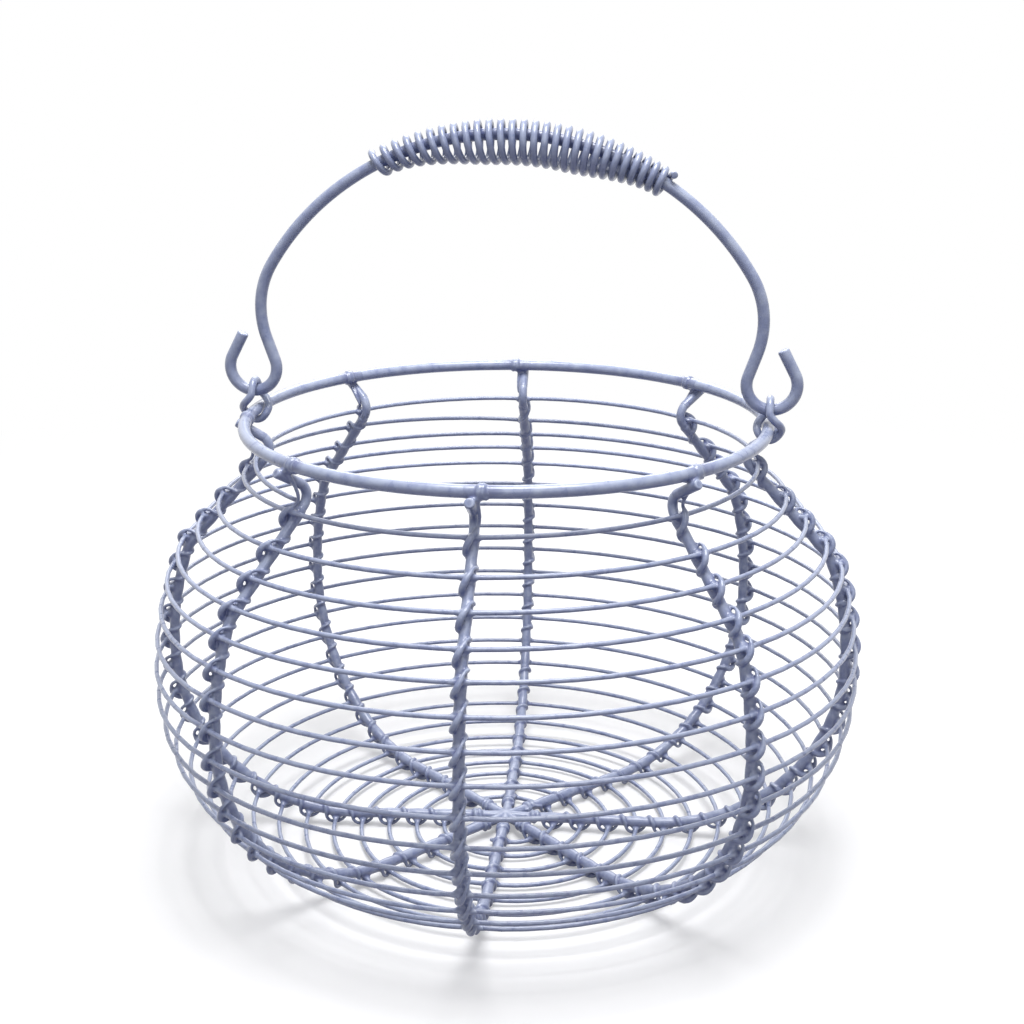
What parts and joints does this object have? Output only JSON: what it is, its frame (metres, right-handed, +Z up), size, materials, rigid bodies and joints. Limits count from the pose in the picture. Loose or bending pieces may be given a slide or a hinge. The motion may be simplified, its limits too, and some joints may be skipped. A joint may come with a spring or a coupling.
{
  "type": "wire egg basket",
  "caption": "Pot-bellied basket of spiralled wire lashed to ribs under a rim ring, with a swinging bail that hangs in links and carries a sprung wire grip.",
  "frame": {"origin": "on the table, under the middle of the round base", "axes": "+Z up, +X along the bail's hinge line towards the right link, +Y away from the viewer"},
  "size_m": [0.1978, 0.1982, 0.2044],
  "materials": {
    "heavy_wire_enamel": "satin-gloss blue-grey enamel on steel wire, thinner on top and darker underneath",
    "spiral_enamel": "satin-gloss blue-grey enamel, with small fillets where it meets the ribs",
    "lashing_enamel": "satin-gloss blue-grey enamel, pooled between the turns of thin wire",
    "grip_enamel": "satin-gloss blue-grey enamel on a wire coil, rubbed a little paler where held"
  },
  "bodies": {
    "basket": {"rim_ring": "heavy_wire_enamel", "spiral_wire": "spiral_enamel", "rib_right": "heavy_wire_enamel", "rib_back_right": "heavy_wire_enamel", "rib_back": "heavy_wire_enamel", "rib_back_left": "heavy_wire_enamel", "rib_left": "heavy_wire_enamel", "rib_front_left": "heavy_wire_enamel", "rib_front": "heavy_wire_enamel", "rib_front_right": "heavy_wire_enamel", "lashing_right": "lashing_enamel", "lashing_back_right": "lashing_enamel", "lashing_back": "lashing_enamel", "lashing_back_left": "lashing_enamel", "lashing_left": "lashing_enamel", "lashing_front_left": "lashing_enamel", "lashing_front": "lashing_enamel", "lashing_front_right": "lashing_enamel"},
    "handle": {"handle_bail": "heavy_wire_enamel", "grip_coil": "grip_enamel"},
    "left_link": {"link_left": "heavy_wire_enamel"},
    "right_link": {"link_right": "heavy_wire_enamel"}
  },
  "joints": [
    {"name": "handle_swing", "type": "hinge", "parent": "basket", "child": "handle", "pos_m": [0, 0, 0.12955], "axis": [1, 0, 0], "range_deg": [-85, 85]},
    {"name": "left_link_swing", "type": "hinge", "parent": "basket", "child": "left_link", "pos_m": [-0.0708, 0, 0.1242], "axis": [0, 1, 0], "range_deg": [-3, 3]},
    {"name": "right_link_swing", "type": "hinge", "parent": "basket", "child": "right_link", "pos_m": [0.0708, 0, 0.1242], "axis": [0, 1, 0], "range_deg": [-3, 3]}
  ]
}
